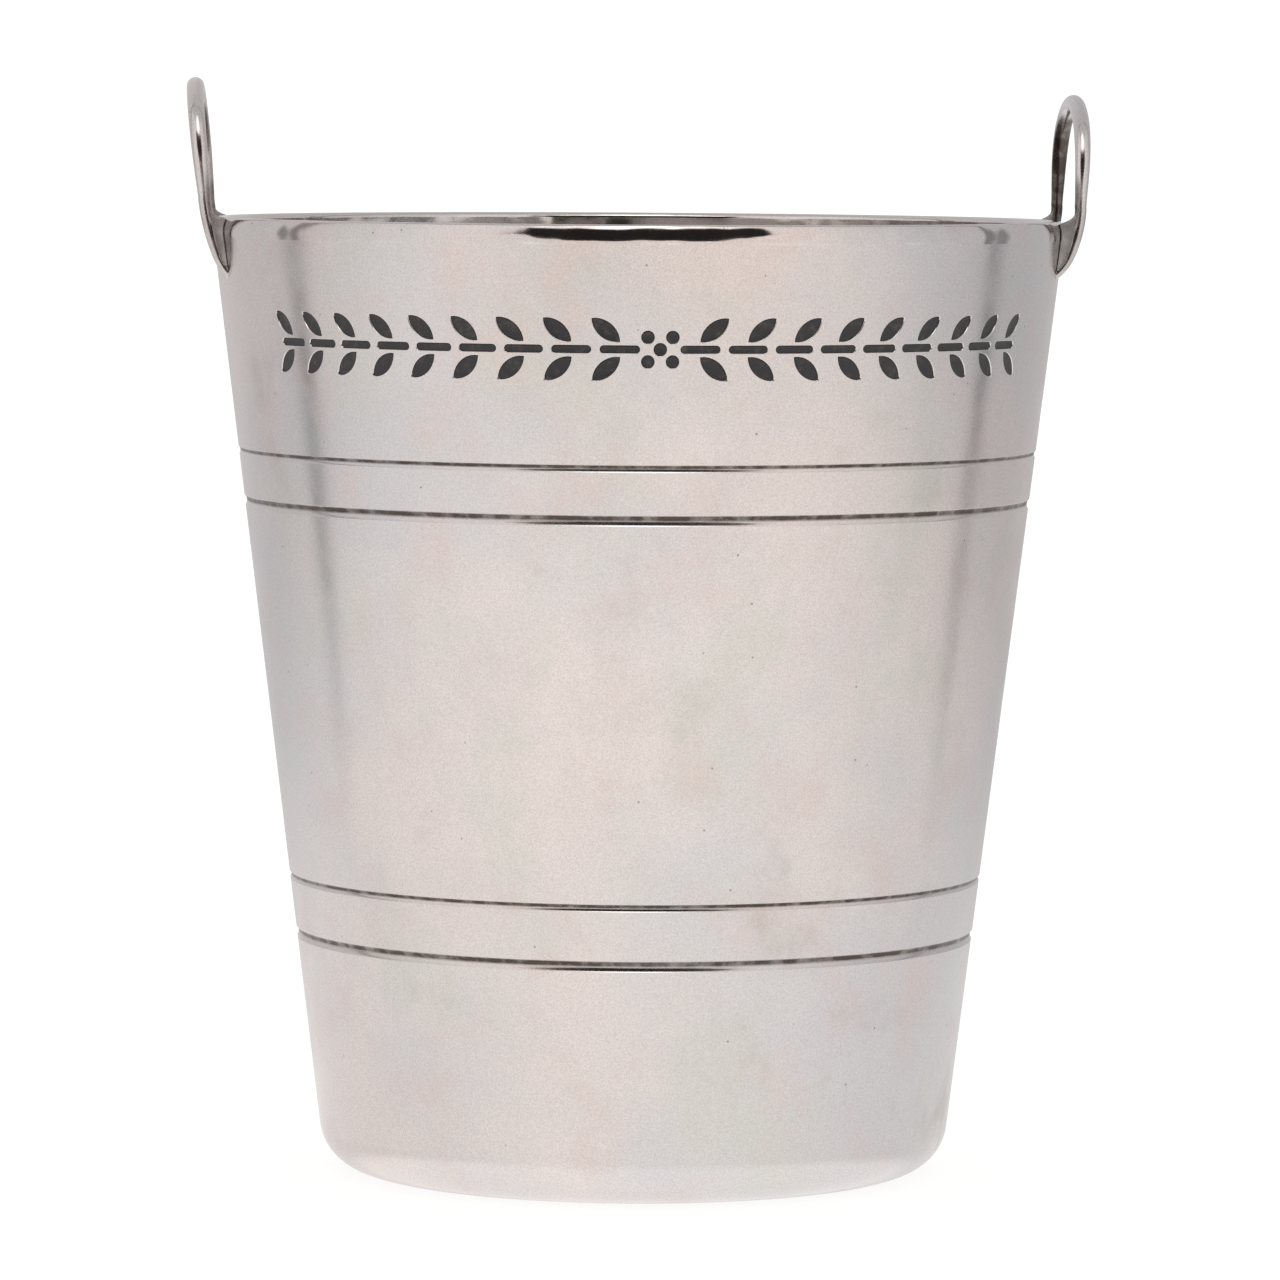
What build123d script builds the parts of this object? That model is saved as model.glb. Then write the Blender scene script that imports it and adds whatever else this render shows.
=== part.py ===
"""Silver champagne bucket with two fixed wire loops, millimetres, +Z up.

The origin is the centre of the flat base. The loops stand at -X (left) and +X (right), and the
engraved leaf garland faces -Y. The bucket is spun sheet with four turned grooves. A stiffening
ring is soldered inside its mouth, and each loop is a bent wire whose two feet lie against the
wall, each held by its own solder web. Nothing on the object moves.
"""

from build123d import *
from math import atan, cos, degrees, pi, radians, sin, sqrt
import os

# ---- driving dimensions -------------------------------------------------------------------
RIM_RADIUS = 100.0  # outside of the mouth
BODY_HEIGHT = 223.5  # base to the top of the rim
FLARE = 0.1228  # growth of the radius per unit of height, 7 degrees
SHEET = 1.2  # wall thickness of the spun sheet
BASE_CORNER_RADIUS = 12.0  # outside of the turn from wall to base

RIM_WIDTH = 4.0  # from the outside of the mouth to the inside of the ring
LIP_FLANK_RADIUS = 6.4  # slow roll of the outside of the lip
LIP_FLANK_TILT = 25.0  # degrees above level that the flank's face reaches
LIP_CREST_RADIUS = 0.85  # quick roll over the top
LIP_INNER_ROUND = 1.2
RIM_SHOULDER_DROP = 4.5  # top of the sheet below the top of the rim
RIM_SKIRT_DROP = 7.5  # foot of the ring, inside the wall

# Height of each turned groove above the base, its width and its depth.
FINE_GROOVE = (1.7, 0.33)
BROAD_GROOVE = (2.5, 0.45)
GROOVES = (
    (169.1, FINE_GROOVE),
    (157.4, BROAD_GROOVE),
    (69.5, FINE_GROOVE),
    (56.1, BROAD_GROOVE),
)

CROWN_WIRE_RADIUS = 2.0  # of a loop's wire, over its crown
FOOT_WIRE_RADIUS = 1.45  # the legs are drawn down to this at the rim
LEG_SPACING = 46.0  # between the centres of a loop's legs
CROWN_RISE = 17.0  # of the arched crown above the tops of the legs
CROWN_SHARE = 60.0  # degrees of each of the crown's three arcs
TOE_RADIUS = 12.0  # last, tighter bend of a foot, into the wall
# The loops were bent by hand. Each has its side, its turn about the bucket's axis, the height
# of its crown's centre line above the rim, its outward lean and its distance from the wall to
# the centre of a leg, at the rim. The first bend of its feet has a start above the rim, a radius
# and an angle, and the toe goes on to its own angle.
LOOPS = {
    "left": {
        "side": -1,
        "turn": -1.0,
        "crown": 30.4,
        "lean": 5.75,
        "standoff": 3.3,
        "bend_start": 4.8,
        "bend_radius": 48.0,
        "bend_angle": 17.0,
        "toe_angle": 55.0,
    },
    "right": {
        "side": 1,
        "turn": 0.8,
        "crown": 27.5,
        "lean": 2.3,
        "standoff": 3.8,
        "bend_start": 3.3,
        "bend_radius": 30.0,
        "bend_angle": 22.0,
        "toe_angle": 60.0,
    },
}

WEB_WIDTH = 2.2  # of a solder web, along the rim
# Its hollow top: distance in from the leg's centre, and height above the rim.
WEB_CLIMB = (1.15, 2.8)  # on the leg
WEB_HOLLOW = (2.6, 0.15)
WEB_LAP = (1.6, -0.9)  # on the lip, measured in from the wall
# The rest of its outline goes down inside the leg, and its foot reaches into the wall.
WEB_BACK = ((0.0, 1.0), (2.2, -9.0), (5.6, -13.0))
WEB_FOOT = (4.0, -12.0)  # measured in from the wall

GARLAND_DROP = 27.7  # centre line of the garland below the rim
GARLAND_DEPTH = 0.5  # of the engraving, at the middle of a stroke
LEAF_PAIRS = 9  # on each side of the middle
LEAF_PITCH = 10.9  # along the wall
LEAF_START = 9.0  # first pair, from the middle
LEAF_ROOT = (-0.2, 1.6)  # along and across the garland, from its pair's place
LEAF_TIP = (6.4, 7.1)
LEAF_HALF_WIDTH = 1.9
STEM_HALF_LENGTH = 3.6
STEM_RADIUS = 1.0
BERRY_RADIUS = 1.6
BERRY_SPREAD = 3.9  # from the middle berry to the four around it

# ---- worked out from them -----------------------------------------------------------------
FLARE_DEGREES = degrees(atan(FLARE))
SEAM_TURN = 45.0  # of a spun surface's seam, degrees from +X
WALL_ACROSS = SHEET / cos(radians(FLARE_DEGREES))  # thickness of the wall, measured level


def outer_radius(height):
    """Radius of the outside of the wall at a height above the base."""
    return RIM_RADIUS - FLARE * (BODY_HEIGHT - height)


def spun(profile):
    """The solid that an (r, z) sketch sweeps round the Z axis, its seam clear of loops and leaves."""
    return Rot(0, 0, SEAM_TURN) * revolve(Plane.XZ * profile, axis=Axis.Z)


# ---- spun body ----------------------------------------------------------------------------
def vessel_profile(base_height, inset, top, corner_radius):
    """Half section of a filled, flared vessel with a rounded foot."""
    outline = Polygon(
        (0, base_height),
        (outer_radius(base_height) - inset, base_height),
        (outer_radius(top) - inset, top),
        (0, top),
        align=None,
    )
    corner = outline.vertices().sort_by(Axis.X)
    corner = [v for v in corner if abs(v.Y - base_height) < 1e-6 and v.X > 1][0]
    return fillet(corner, corner_radius)


def groove_profile(height, width, depth):
    """A turned groove: the part of a circle that reaches into the wall."""
    circle_radius = (width * width / 4 + depth * depth) / (2 * depth)
    rise = circle_radius - depth
    centre_r = outer_radius(height) + rise * cos(radians(FLARE_DEGREES))
    centre_z = height - rise * sin(radians(FLARE_DEGREES))
    return Pos(centre_r, centre_z) * Circle(circle_radius)


def sheet_profile():
    """Half section of the spun sheet, up to the shoulder of the rim ring."""
    top = BODY_HEIGHT - RIM_SHOULDER_DROP
    outside = vessel_profile(0, 0, top, BASE_CORNER_RADIUS)
    inside = vessel_profile(SHEET, WALL_ACROSS, BODY_HEIGHT, BASE_CORNER_RADIUS - SHEET)
    section = outside - inside
    for height, (width, depth) in GROOVES:
        section -= groove_profile(height, width, depth)
    return section


def lip_arcs():
    """Foot of the lip, its slow outer roll, its crest and the top of the crest."""
    tilt = radians(LIP_FLANK_TILT)
    flare = radians(FLARE_DEGREES)
    flank_rise = LIP_FLANK_RADIUS * (sin(tilt) + sin(flare))
    foot_z = BODY_HEIGHT - flank_rise - LIP_CREST_RADIUS * (1 - sin(tilt))
    foot = (outer_radius(foot_z), foot_z)
    centre_r = foot[0] - LIP_FLANK_RADIUS * cos(flare)
    centre_z = foot_z + LIP_FLANK_RADIUS * sin(flare)
    flank = CenterArc(
        (centre_r, centre_z), LIP_FLANK_RADIUS, -FLARE_DEGREES, LIP_FLANK_TILT + FLARE_DEGREES
    )
    inset = LIP_FLANK_RADIUS - LIP_CREST_RADIUS
    crest_r = centre_r + inset * cos(tilt)
    crest_z = centre_z + inset * sin(tilt)
    crest = CenterArc((crest_r, crest_z), LIP_CREST_RADIUS, LIP_FLANK_TILT, 90 - LIP_FLANK_TILT)
    return foot, flank, crest, (crest_r, BODY_HEIGHT)


def rim_profile():
    """Half section of the rim ring, which fills the lip and laps the inside of the wall."""
    shoulder = BODY_HEIGHT - RIM_SHOULDER_DROP
    skirt = BODY_HEIGHT - RIM_SKIRT_DROP
    inner = RIM_RADIUS - RIM_WIDTH
    foot, flank, crest, top = lip_arcs()
    round_centre = (inner + LIP_INNER_ROUND, BODY_HEIGHT - LIP_INNER_ROUND)
    inner_round = CenterArc(round_centre, LIP_INNER_ROUND, 90, 90)
    rest = Polyline(
        (inner, BODY_HEIGHT - LIP_INNER_ROUND),
        (inner, shoulder - 1),
        (outer_radius(skirt) - WALL_ACROSS, skirt),
        (outer_radius(shoulder) - WALL_ACROSS, shoulder),
        (outer_radius(shoulder), shoulder),
        foot,
    )
    flat = Line(top, (round_centre[0], BODY_HEIGHT))
    return make_face(Curve() + [flank, crest, flat, inner_round, rest])


def envelope_profile():
    """Half section of the whole bucket's filled outer shape, lip and all."""
    foot, flank, crest, top = lip_arcs()
    rest = Polyline(top, (0, BODY_HEIGHT), (0, 0), (outer_radius(0), 0), foot)
    outline = make_face(Curve() + [flank, crest, rest])
    corner = [v for v in outline.vertices() if abs(v.Y) < 1e-6 and v.X > 1]
    return fillet(corner, BASE_CORNER_RADIUS)


# ---- engraved garland ---------------------------------------------------------------------
def stem():
    """A round-ended stroke along the garland."""
    ends = []
    for along in (-STEM_HALF_LENGTH, STEM_HALF_LENGTH):
        ends += (Pos(along, 0) * Circle(STEM_RADIUS)).edges()
    return Sketch() + make_hull(ends)


def leaf(side, across):
    """A pointed oval leaf, on one side of the middle and above or below the stem."""
    root = Vector(side * LEAF_ROOT[0], across * LEAF_ROOT[1])
    tip = Vector(side * LEAF_TIP[0], across * LEAF_TIP[1])
    along = (tip - root).normalized()
    swell = Vector(-along.Y, along.X) * LEAF_HALF_WIDTH
    middle = (root + tip) / 2
    edges = [
        Edge.make_three_point_arc(root, middle + swell, tip),
        Edge.make_three_point_arc(tip, middle - swell, root),
    ]
    return make_face(edges)


def garland_strokes():
    """(place along the wall, sketch) of every stroke, with the sketch drawn about its place."""
    strokes = []
    for side in (-1, 1):
        for pair in range(LEAF_PAIRS):
            place = side * (LEAF_START + pair * LEAF_PITCH)
            strokes.append((place, stem()))
            for across in (-1, 1):
                strokes.append((place, leaf(side, across)))
    strokes.append((0, Sketch() + Circle(BERRY_RADIUS)))
    for quarter in range(4):
        turn = pi / 4 + quarter * pi / 2
        berry = Pos(BERRY_SPREAD * cos(turn), BERRY_SPREAD * sin(turn)) * Circle(BERRY_RADIUS)
        strokes.append((0, Sketch() + berry))
    return strokes


def stroke_cutters():
    """One prism through the wall's surface for each stroke."""
    height = BODY_HEIGHT - GARLAND_DROP
    radius = outer_radius(height)
    cutters = []
    for place, sketch in garland_strokes():
        angle = place / radius - pi / 2
        normal = (cos(angle), sin(angle), -FLARE)
        tangent = (-sin(angle), cos(angle), 0)
        surface = Plane(
            origin=(radius * cos(angle), radius * sin(angle), height),
            x_dir=tangent,
            z_dir=normal,
        )
        cutters.append(surface * Pos(0, 0, -GARLAND_DEPTH) * extrude(sketch, amount=2, dir=(0, 0, 1)))
    return cutters


# ---- wire loops ---------------------------------------------------------------------------
# A loop is drawn in its own frame: X along the rim, Y in towards the axis, Z up its legs, with
# the origin between the legs' centres at the height of the rim.
def loop_place(loop):
    """The move from a loop's own frame to the bucket's."""
    side = loop["side"]
    lean = radians(loop["lean"])
    reach = sqrt(RIM_RADIUS**2 - (LEG_SPACING / 2) ** 2) + loop["standoff"]
    frame = Plane(
        origin=(side * reach, 0, BODY_HEIGHT),
        x_dir=(0, side, 0),
        z_dir=(side * sin(lean), 0, cos(lean)),
    )
    return Rot(0, 0, loop["turn"]) * frame.location


def bent(start, direction, centre, axis, angle, radius):
    """A stretch of wire from a start, bent about an axis through a centre."""
    section = Plane(origin=start, z_dir=direction) * Circle(radius)
    return revolve(section, axis=Axis(centre, axis), revolution_arc=angle)


def crown_wire(leg_top):
    """The crown: three arcs that make a flattened arch between the tops of the legs."""
    half = LEG_SPACING / 2
    share = radians(CROWN_SHARE)
    # Both conditions of a three-arc arch: its arcs are tangent, and it is CROWN_RISE high.
    slack = (1 - sin(share)) / cos(share)
    shoulder = (CROWN_RISE - half * slack) / (1 - slack)
    top = shoulder + (half - shoulder) / cos(share)
    out = half - shoulder * (1 - cos(share))
    up = leg_top + shoulder * sin(share)
    turn = (0, 1, 0)
    wire = bent(
        (-half, 0, leg_top), (0, 0, 1), (shoulder - half, 0, leg_top), turn, CROWN_SHARE,
        CROWN_WIRE_RADIUS,
    )
    wire += bent(
        (-out, 0, up), (sin(share), 0, cos(share)), (0, 0, leg_top + CROWN_RISE - top), turn,
        180 - 2 * CROWN_SHARE, CROWN_WIRE_RADIUS,
    )
    wire += bent(
        (out, 0, up), (sin(share), 0, -cos(share)), (half - shoulder, 0, leg_top), turn,
        CROWN_SHARE, CROWN_WIRE_RADIUS,
    )
    return wire


def loop_wire(loop):
    """A loop in its own frame: the crown, two tapered legs, and feet that bend in to the wall."""
    start, radius = loop["bend_start"], loop["bend_radius"]
    angle, toe_angle = radians(loop["bend_angle"]), loop["toe_angle"]
    leg_top = loop["crown"] / cos(radians(loop["lean"])) - CROWN_RISE
    toe_start_y = radius * (1 - cos(angle))
    toe_start_z = start - radius * sin(angle)
    wire = crown_wire(leg_top)
    for x in (-LEG_SPACING / 2, LEG_SPACING / 2):
        leg = Cone(FOOT_WIRE_RADIUS, CROWN_WIRE_RADIUS, leg_top - start)
        wire += Pos(x, 0, (start + leg_top) / 2) * leg
        wire += bent(
            (x, 0, start), (0, 0, 1), (x, radius, start), (1, 0, 0), loop["bend_angle"],
            FOOT_WIRE_RADIUS,
        )
        toe_centre = (x, toe_start_y + TOE_RADIUS * cos(angle), toe_start_z + TOE_RADIUS * sin(angle))
        wire += bent(
            (x, toe_start_y, toe_start_z), (0, -sin(angle), cos(angle)), toe_centre, (1, 0, 0),
            toe_angle - loop["bend_angle"], FOOT_WIRE_RADIUS,
        )
    return wire


def solder_web(loop, x):
    """Solder between one foot and the wall, with a hollow top that climbs the leg."""
    wall = loop["standoff"]
    lap = (x, wall + WEB_LAP[0], WEB_LAP[1])
    climb = (x, *WEB_CLIMB)
    edges = [Edge.make_three_point_arc(lap, (x, *WEB_HOLLOW), climb)]
    corners = [climb] + [(x, *point) for point in WEB_BACK]
    corners += [(x, wall + WEB_FOOT[0], WEB_FOOT[1]), lap]
    for start, end in zip(corners, corners[1:]):
        edges.append(Edge.make_line(start, end))
    return extrude(Face(Wire(edges)), amount=WEB_WIDTH / 2, dir=(1, 0, 0), both=True)


# ---- assembly -----------------------------------------------------------------------------
def build():
    """Every node of the bucket, by name."""
    nodes = {}
    blank = spun(sheet_profile())
    cutters = stroke_cutters()
    nodes["bucket_body"] = blank - cutters
    nodes["rim_ring"] = spun(rim_profile())
    nodes["garland_fill"] = Compound([(blank & cutter).solid() for cutter in cutters])

    # The filled outer shape of the finished bucket trims the feet and the solder to its surface.
    envelope = spun(envelope_profile())
    for name, loop in LOOPS.items():
        place = loop_place(loop)
        wire = place * loop_wire(loop)
        nodes[name + "_loop_handle"] = wire - envelope
        for end, y in (("front", -LEG_SPACING / 2), ("rear", LEG_SPACING / 2)):
            web = place * solder_web(loop, loop["side"] * y)
            nodes[f"{name}_{end}_solder"] = web - envelope - wire
    return nodes


os.makedirs("parts", exist_ok=True)
for node, shape in build().items():
    export_step(shape, f"parts/{node}.step")
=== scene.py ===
"""Looks of the silver champagne bucket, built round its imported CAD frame. Metres, +Z up."""

import math

import bmesh
import bpy
import numpy as np
from mathutils import Matrix, Vector
from mathutils.geometry import delaunay_2d_cdt


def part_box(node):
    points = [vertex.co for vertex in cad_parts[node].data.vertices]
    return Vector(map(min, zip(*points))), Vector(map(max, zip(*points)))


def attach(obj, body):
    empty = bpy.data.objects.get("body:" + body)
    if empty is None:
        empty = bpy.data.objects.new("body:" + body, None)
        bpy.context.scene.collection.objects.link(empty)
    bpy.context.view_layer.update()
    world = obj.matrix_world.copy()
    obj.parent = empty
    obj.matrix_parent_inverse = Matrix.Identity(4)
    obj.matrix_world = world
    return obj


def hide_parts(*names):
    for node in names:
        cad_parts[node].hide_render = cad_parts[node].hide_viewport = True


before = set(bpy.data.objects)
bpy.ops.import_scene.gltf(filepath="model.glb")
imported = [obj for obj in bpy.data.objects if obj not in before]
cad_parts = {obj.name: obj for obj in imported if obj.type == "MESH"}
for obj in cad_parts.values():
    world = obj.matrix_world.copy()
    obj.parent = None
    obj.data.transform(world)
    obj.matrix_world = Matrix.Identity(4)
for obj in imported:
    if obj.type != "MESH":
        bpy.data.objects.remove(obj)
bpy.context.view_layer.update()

# ---- driving dimensions, in metres ----------------------------------------------------------
MM = 0.001
RIM_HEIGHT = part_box("rim_ring")[1].z
SHOULDER_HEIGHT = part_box("bucket_body")[1].z
SKIRT_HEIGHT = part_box("rim_ring")[0].z
RIM_RADIUS = 100 * MM
FLARE = 0.1228
FLARE_ANGLE = math.atan(FLARE)
SHEET = 1.2 * MM
WALL_ACROSS = SHEET / math.cos(FLARE_ANGLE)
BASE_CORNER_RADIUS = 12 * MM
RIM_WIDTH = 4.0 * MM
LIP_FLANK_RADIUS = 6.4 * MM
LIP_FLANK_TILT = math.radians(25)
LIP_CREST_RADIUS = 0.85 * MM
LIP_INNER_ROUND = 1.2 * MM

# Height above the base, width and depth of each turned groove, from the base up.
GROOVES = (
    (56.1 * MM, 2.5 * MM, 0.45 * MM),
    (69.5 * MM, 1.7 * MM, 0.33 * MM),
    (157.4 * MM, 2.5 * MM, 0.45 * MM),
    (169.1 * MM, 1.7 * MM, 0.33 * MM),
)

GARLAND_HEIGHT = RIM_HEIGHT - 27.7 * MM
GARLAND_MARGIN = 10 * MM  # the garland's zone reaches this far above and below its centre line
GARLAND_ROWS = 7  # rows of grid points across that zone
GRID_CLEARANCE = 0.5 * MM  # from a grid point to the nearest stroke
ENGRAVING_DEPTH = 0.5 * MM
ENGRAVING_CHAMFER = 0.12 * MM
FILL_DEPTH = 0.22 * MM  # top of the black filler below the surface
FILL_DISH = (0.25 * MM, 0.05 * MM)  # width of the filler's rounded edge, and its depth
FILL_CLEARANCE = 0.02 * MM  # under the filler
LEAF_PAIRS = 9
LEAF_PITCH = 10.9 * MM
LEAF_START = 9.0 * MM
LEAF_ROOT = (-0.2 * MM, 1.6 * MM)
LEAF_TIP = (6.4 * MM, 7.1 * MM)
LEAF_HALF_WIDTH = 1.9 * MM
STEM_HALF_LENGTH = 3.6 * MM
STEM_RADIUS = 1.0 * MM
BERRY_RADIUS = 1.6 * MM
BERRY_SPREAD = 3.9 * MM

LEG_SPACING = 46 * MM
CROWN_RISE = 17 * MM
CROWN_SHARE = math.radians(60)
TOE_RADIUS = 12 * MM
FOOT_WIRE_RADIUS = 1.45 * MM
# The wire's radius at heights above the rim: thinned in the feet and drawn down in the legs.
WIRE_TAPER = (
    (-0.013, 0.95 * MM),
    (-0.005, 1.27 * MM),
    (0.000, 1.34 * MM),
    (0.005, 1.40 * MM),
    (0.009, 1.60 * MM),
    (0.014, 1.79 * MM),
    (0.019, 1.89 * MM),
    (0.031, 2.00 * MM),
)
# The amount of black on each loop's inner faces is painted shade, standing in for the dark those faces
# reflect.
LOOPS = {
    "left": {
        "side": -1,
        "turn": math.radians(-1.0),
        "crown": 30.4 * MM,
        "lean": math.radians(5.75),
        "standoff": 3.3 * MM,
        "bend_start": 4.8 * MM,
        "bend_radius": 48 * MM,
        "bend_angle": math.radians(17),
        "toe_angle": math.radians(55),
        "inner_painted_shade": 0.3,  # how black its inner faces are
    },
    "right": {
        "side": 1,
        "turn": math.radians(0.8),
        "crown": 27.5 * MM,
        "lean": math.radians(2.3),
        "standoff": 3.8 * MM,
        "bend_start": 3.3 * MM,
        "bend_radius": 30 * MM,
        "bend_angle": math.radians(22),
        "toe_angle": math.radians(60),
        "inner_painted_shade": 1.3,
    },
}
WEB_TOP = 2.8 * MM  # of the solder, above the rim
WEB_LAP = (1.6 * MM, -0.9 * MM)  # its lap on the lip: in from the wall, and above the rim
WEB_BOTTOM = -11.5 * MM
WEB_CREST = 1.0 * MM  # how far in the solder goes at its very top
WEB_HOLLOW = 2.9  # the power of the curve of its hollow top
WEB_HALF_WIDTH = 1.05 * MM
WEB_FLARE = 0.35 * MM  # added where it meets the wall
WEB_WAIST = 0.12 * MM  # taken off halfway
# Painted shade over the whole solder web, which sits between the foot and the wall.
WEB_PAINTED_SHADE = 0.55

COLUMNS = 256  # facets round every spun surface
ARC_STEP = math.radians(6)  # along the rounded stretches of a profile
WALL_STEP = 4 * MM  # along its straight stretches
WIRE_FACETS = 28  # round a loop's wire


def outer_radius(height):
    """Radius of the outside of the wall at a height above the base."""
    return RIM_RADIUS - FLARE * (RIM_HEIGHT - height)


def smooth(value, low, high):
    """A smooth step from 0 at low to 1 at high."""
    share = min(1.0, max(0.0, (value - low) / (high - low)))
    return share * share * (3 - 2 * share)


# ---- mesh with its own normals --------------------------------------------------------------
class Surface:
    """Vertices and faces, with an exact normal at each face corner where one is known."""

    def __init__(self):
        self.points = []
        self.faces = []
        self.normals = []
        self.known = {}
        self.satin = []
        self.finish = 0.0  # how satin the points added from now on are

    def point(self, position, key=None):
        """Index of a vertex; two calls with the same key share it."""
        if key is not None and key in self.known:
            return self.known[key]
        self.points.append(tuple(position))
        self.satin.append(self.finish)
        if key is not None:
            self.known[key] = len(self.points) - 1
        return len(self.points) - 1

    def face(self, corners, normals=None):
        self.faces.append(tuple(corners))
        self.normals.extend(normals or [(0.0, 0.0, 0.0)] * len(corners))

    def build(self, name, darkening=None):
        """The object, smooth shaded, riding on the root body, with its darkening at each point."""
        mesh = bpy.data.meshes.new(name)
        mesh.from_pydata(self.points, [], self.faces)
        mesh.polygons.foreach_set("use_smooth", [True] * len(self.faces))
        mesh.normals_split_custom_set(self.normals)
        if darkening is not None:
            layer = mesh.attributes.new("darkening", "FLOAT", "POINT")
            layer.data.foreach_set("value", [darkening(point) for point in self.points])
        layer = mesh.attributes.new("satin", "FLOAT", "POINT")
        layer.data.foreach_set("value", self.satin)
        piece = bpy.data.objects.new(name, mesh)
        bpy.context.scene.collection.objects.link(piece)
        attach(piece, "root")
        return piece


def around(radius, height, angle):
    """The point at a radius, height and angle round the axis."""
    return (radius * math.cos(angle), radius * math.sin(angle), height)


def column_angle(column):
    return 2 * math.pi * (column % COLUMNS) / COLUMNS


def ring(surface, radius, height):
    """Indices of a ring of vertices, shared by every run of the profile that meets it."""
    if radius < 1e-6:
        return [surface.point((0, 0, height), ("pole", round(height, 7)))] * COLUMNS
    indices = []
    for column in range(COLUMNS):
        key = (column, round(radius, 7), round(height, 7))
        indices.append(surface.point(around(radius, height, column_angle(column)), key))
    return indices


def turned(radial, upward, angle):
    """A profile normal carried round the axis."""
    return (radial * math.cos(angle), radial * math.sin(angle), upward)


def spin(surface, run):
    """Spins a run of (radius, height, normal radial, normal up) stations round the axis."""
    for lower, upper in zip(run, run[1:]):
        start = ring(surface, lower[0], lower[1])
        end = ring(surface, upper[0], upper[1])
        for column in range(COLUMNS):
            following = (column + 1) % COLUMNS
            here, there = column_angle(column), column_angle(column + 1)
            corners = [start[column], start[following], end[following], end[column]]
            shades = [
                turned(lower[2], lower[3], here),
                turned(lower[2], lower[3], there),
                turned(upper[2], upper[3], there),
                turned(upper[2], upper[3], here),
            ]
            if lower[0] < 1e-6:
                corners, shades = corners[1:], shades[1:]
            elif upper[0] < 1e-6:
                corners, shades = corners[:3], shades[:3]
            surface.face(corners, shades)


def straight(start, end, pieces=1):
    """A straight run between two (radius, height) points, its outside on the right going up."""
    along = Vector(end) - Vector(start)
    normal = Vector((along.y, -along.x)).normalized()
    run = []
    for step in range(pieces + 1):
        spot = Vector(start) + along * (step / pieces)
        run.append((spot.x, spot.y, normal.x, normal.y))
    return run


def arc(centre, radius, start, end, hollow=False):
    """A round run; angles are of the (radius, height) section, and a hollow arc faces its centre."""
    pieces = max(2, math.ceil(abs(end - start) / ARC_STEP))
    facing = -1 if hollow else 1
    run = []
    for step in range(pieces + 1):
        angle = start + (end - start) * step / pieces
        across, up = math.cos(angle), math.sin(angle)
        spot = (centre[0] + radius * across, centre[1] + radius * up)
        run.append((*spot, facing * across, facing * up))
    return run


# ---- the spun vessel ------------------------------------------------------------------------
def corner_centre(base_height, inset, radius):
    """Centre of the arc that joins the base to the wall."""
    foot = outer_radius(base_height) - inset
    run = radius * math.tan((math.pi / 2 - FLARE_ANGLE) / 2)
    return (foot - run, base_height + radius)


def groove_run(height, width, depth):
    """A turned groove, from its lower edge to its upper edge."""
    circle = (width * width / 4 + depth * depth) / (2 * depth)
    rise = circle - depth
    centre = (
        outer_radius(height) + rise * math.cos(FLARE_ANGLE),
        height - rise * math.sin(FLARE_ANGLE),
    )
    half = math.asin(width / 2 / circle)
    inward = math.pi - FLARE_ANGLE
    return arc(centre, circle, inward + half, inward - half, hollow=True)


def outside_runs():
    """Runs of the outer surface from the middle of the base to the shoulder, with a gap
    where the garland's zone goes."""
    centre = corner_centre(0, 0, BASE_CORNER_RADIUS)
    runs = [straight((0, 0), (centre[0], 0), 6)]
    corner = arc(centre, BASE_CORNER_RADIUS, -math.pi / 2, -FLARE_ANGLE)
    runs.append(corner)
    place = corner[-1][:2]
    for height, width, depth in GROOVES:
        groove = groove_run(height, width, depth)
        runs.append(wall_run(place, groove[0][:2]))
        runs.append(groove)
        place = groove[-1][:2]
    low, high = GARLAND_HEIGHT - GARLAND_MARGIN, GARLAND_HEIGHT + GARLAND_MARGIN
    runs.append(wall_run(place, (outer_radius(low), low)))
    shoulder = (outer_radius(SHOULDER_HEIGHT), SHOULDER_HEIGHT)
    runs.append(wall_run((outer_radius(high), high), shoulder))
    return runs


def wall_run(start, end):
    """A plain stretch of the wall."""
    length = math.hypot(end[0] - start[0], end[1] - start[1])
    return straight(start, end, max(1, round(length / WALL_STEP)))


def inside_runs():
    """Runs of the top edge and the inner surface, from the shoulder down to the middle."""
    top_outer = (outer_radius(SHOULDER_HEIGHT), SHOULDER_HEIGHT)
    top_inner = (top_outer[0] - WALL_ACROSS, SHOULDER_HEIGHT)
    radius = BASE_CORNER_RADIUS - SHEET
    centre = corner_centre(SHEET, WALL_ACROSS, radius)
    corner = arc(centre, radius, -FLARE_ANGLE, -math.pi / 2, hollow=True)
    return [
        straight(top_outer, top_inner),
        straight(top_inner, corner[0][:2], 40),
        corner,
        straight(corner[-1][:2], (0, SHEET), 8),
    ]


def groove_darkening(point):
    """Darkening in the turned grooves, heavier on their upper side."""
    radius = math.hypot(point[0], point[1])
    for height, width, depth in GROOVES:
        share = (outer_radius(point[2]) - radius) / depth
        place = (point[2] - height) / width
        if abs(place) < 0.6 and share < 1.1:
            return min(1.0, max(0.0, 2.2 * share)) * smooth(place, -0.18, 0.12)
    return 0.0


# ---- the engraved garland -------------------------------------------------------------------
class Stem:
    """A round-ended stroke between two points of the garland; a berry has both at one place."""

    def __init__(self, start, end, radius):
        self.start = Vector(start)
        self.end = Vector(end)
        self.radius = radius

    def outline(self, inset=0.0, steps=9):
        """Points round the stroke, counterclockwise, drawn in by an inset."""
        along = self.end - self.start
        heading = math.atan2(along.y, along.x)
        points = []
        for centre, first in ((self.end, -math.pi / 2), (self.start, math.pi / 2)):
            for step in range(steps):
                angle = heading + first + math.pi * step / (steps - (along.length > 0))
                reach = self.radius - inset
                points.append(centre + Vector((reach * math.cos(angle), reach * math.sin(angle))))
        return points

    def near(self, spot, clearance):
        """Whether a point lies in the stroke or within a clearance of it."""
        along = self.end - self.start
        share = 0.0
        if along.length > 0:
            share = min(1.0, max(0.0, (spot - self.start).dot(along) / along.length_squared))
        return (spot - self.start - along * share).length < self.radius + clearance


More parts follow.
